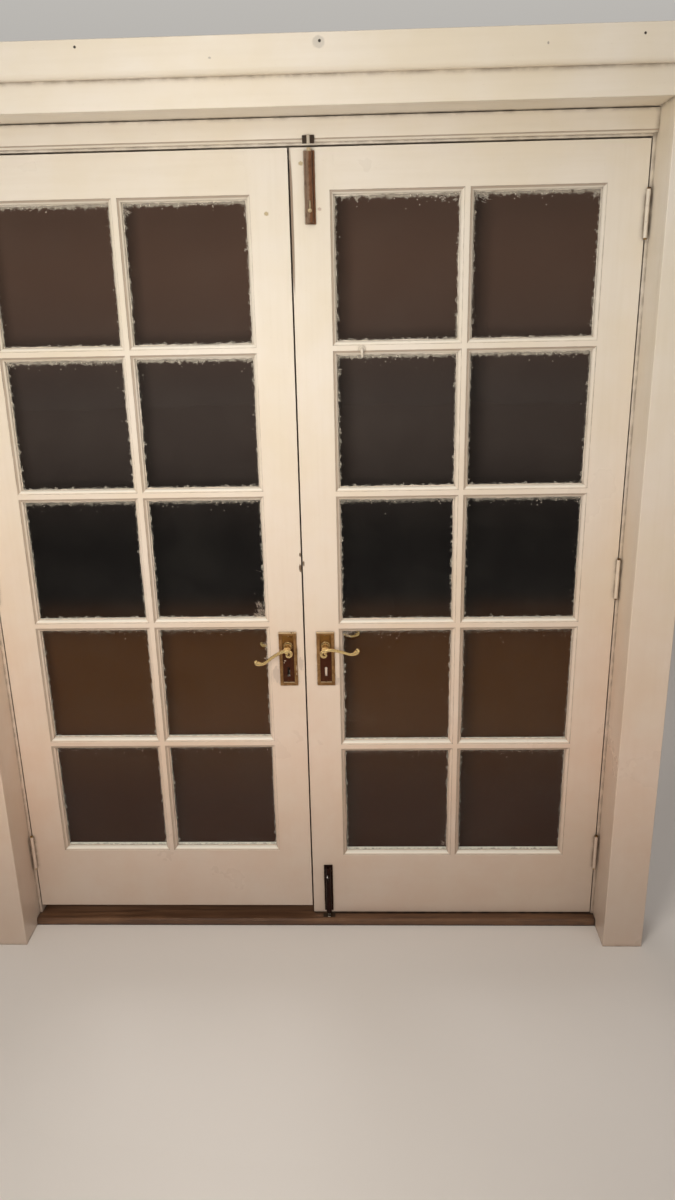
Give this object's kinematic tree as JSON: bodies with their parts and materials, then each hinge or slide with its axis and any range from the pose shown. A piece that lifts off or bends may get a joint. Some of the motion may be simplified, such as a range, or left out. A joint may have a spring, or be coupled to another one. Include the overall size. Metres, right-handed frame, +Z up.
{
  "type": "french doors",
  "caption": "Pair of glazed timber doors with glazing bars, in a rebated frame with threshold, reveal lining, room-side casing, lever handles, lock and barrel bolts.",
  "frame": {"origin": "on the floor at the threshold's underside, on the centre line of the pair, at the room face of the closed leaves", "axes": "+X to the right as seen from the room, +Y away from the room, +Z up"},
  "size_m": [1.82, 0.285, 2.19],
  "materials": {
    "old_paint": "old warm white gloss paint on timber",
    "window_glass": "clear 4 mm glass",
    "worn_brass": "worn polished brass",
    "dark_plate": "brass with old brown lacquer",
    "dark_bolt": "dark brown, worn",
    "lock_steel": "dull steel",
    "painted_metal": "painted over",
    "threshold_wood": "dark brown hardwood"
  },
  "bodies": {
    "frame": {"threshold": "threshold_wood", "frame_jamb_left": "old_paint", "frame_jamb_right": "old_paint", "frame_head": "old_paint", "inner_casing_head": "old_paint", "reveal_lining_left": "old_paint", "reveal_lining_right": "old_paint", "reveal_lining_head": "old_paint", "casing_leg_left": "old_paint", "casing_leg_right": "old_paint", "casing_fascia": "old_paint", "casing_cap": "old_paint", "left_jamb_hinge_flaps": "lock_steel", "right_jamb_hinge_flaps": "lock_steel", "hinge_pins": "lock_steel", "top_bolt_keeper": "dark_bolt", "bottom_bolt_socket": "dark_bolt", "frame_screws": "worn_brass"},
    "left_leaf": {"left_hanging_stile": "old_paint", "left_meeting_stile": "old_paint", "left_top_rail": "old_paint", "left_bottom_rail": "old_paint", "left_vertical_bar": "old_paint", "left_cross_bars": "old_paint", "left_panes": "window_glass", "left_glazing_beads": "old_paint", "left_leaf_hinge_flaps": "lock_steel", "left_inner_plate": "dark_plate", "left_outer_plate": "dark_plate", "left_lock_case": "lock_steel", "left_lock_faceplate": "worn_brass", "left_leaf_screws": "worn_brass"},
    "right_leaf": {"right_hanging_stile": "old_paint", "right_meeting_stile": "old_paint", "right_top_rail": "old_paint", "right_bottom_rail": "old_paint", "right_vertical_bar": "old_paint", "right_cross_bars": "old_paint", "right_panes": "window_glass", "right_glazing_beads": "old_paint", "right_leaf_hinge_flaps": "lock_steel", "right_inner_plate": "dark_plate", "right_outer_plate": "dark_plate", "right_strike_plate": "worn_brass", "top_bolt_barrel": "dark_bolt", "bottom_bolt_barrel": "dark_bolt", "small_hook": "painted_metal", "right_leaf_screws": "worn_brass"},
    "left_lever": {"left_inner_lever": "worn_brass", "left_outer_lever": "worn_brass", "left_spindle": "lock_steel", "left_lock_follower": "lock_steel"},
    "right_lever": {"right_inner_lever": "worn_brass", "right_outer_lever": "worn_brass", "right_spindle": "lock_steel"},
    "left_latch": {"left_latch_bolt": "worn_brass"},
    "left_dead_bolt": {"left_dead_bolt": "worn_brass"},
    "top_bolt": {"top_bolt_rod": "dark_bolt"},
    "bottom_bolt": {"bottom_bolt_rod": "dark_bolt"}
  },
  "joints": [
    {"name": "left_leaf_swing", "type": "hinge", "parent": "frame", "child": "left_leaf", "pos_m": [-0.7865, -0.005, 1], "axis": [0, 0, -1], "range_deg": [0, 95]},
    {"name": "right_leaf_swing", "type": "hinge", "parent": "frame", "child": "right_leaf", "pos_m": [0.7865, -0.005, 1], "axis": [0, 0, 1], "range_deg": [0, 95]},
    {"name": "left_lever_turn", "type": "hinge", "parent": "left_leaf", "child": "left_lever", "pos_m": [-0.0435, 0.022, 0.842], "axis": [0, 1, 0], "range_deg": [0, 21]},
    {"name": "left_latch_slide", "type": "slide", "parent": "left_leaf", "child": "left_latch", "axis": [1, 0, 0], "range_m": [0, 0.0055]},
    {"name": "right_lever_turn", "type": "hinge", "parent": "right_leaf", "child": "right_lever", "pos_m": [0.054, 0.022, 0.842], "axis": [0, 1, 0], "range_deg": [0, 40], "stiffness_Nm_per_rad": 0.8, "springref_deg": -22.92},
    {"name": "left_dead_bolt_slide", "type": "slide", "parent": "left_leaf", "child": "left_dead_bolt", "axis": [1, 0, 0], "range_m": [0, 0.013]},
    {"name": "top_bolt_slide", "type": "slide", "parent": "right_leaf", "child": "top_bolt", "axis": [0, 0, 1], "range_m": [0, 0.018]},
    {"name": "bottom_bolt_slide", "type": "slide", "parent": "right_leaf", "child": "bottom_bolt", "axis": [0, 0, -1], "range_m": [0, 0.018]}
  ],
  "couplings": [
    {"joint": "left_latch_slide", "follows": "left_lever_turn", "m_per_rad": 0.015005}
  ]
}
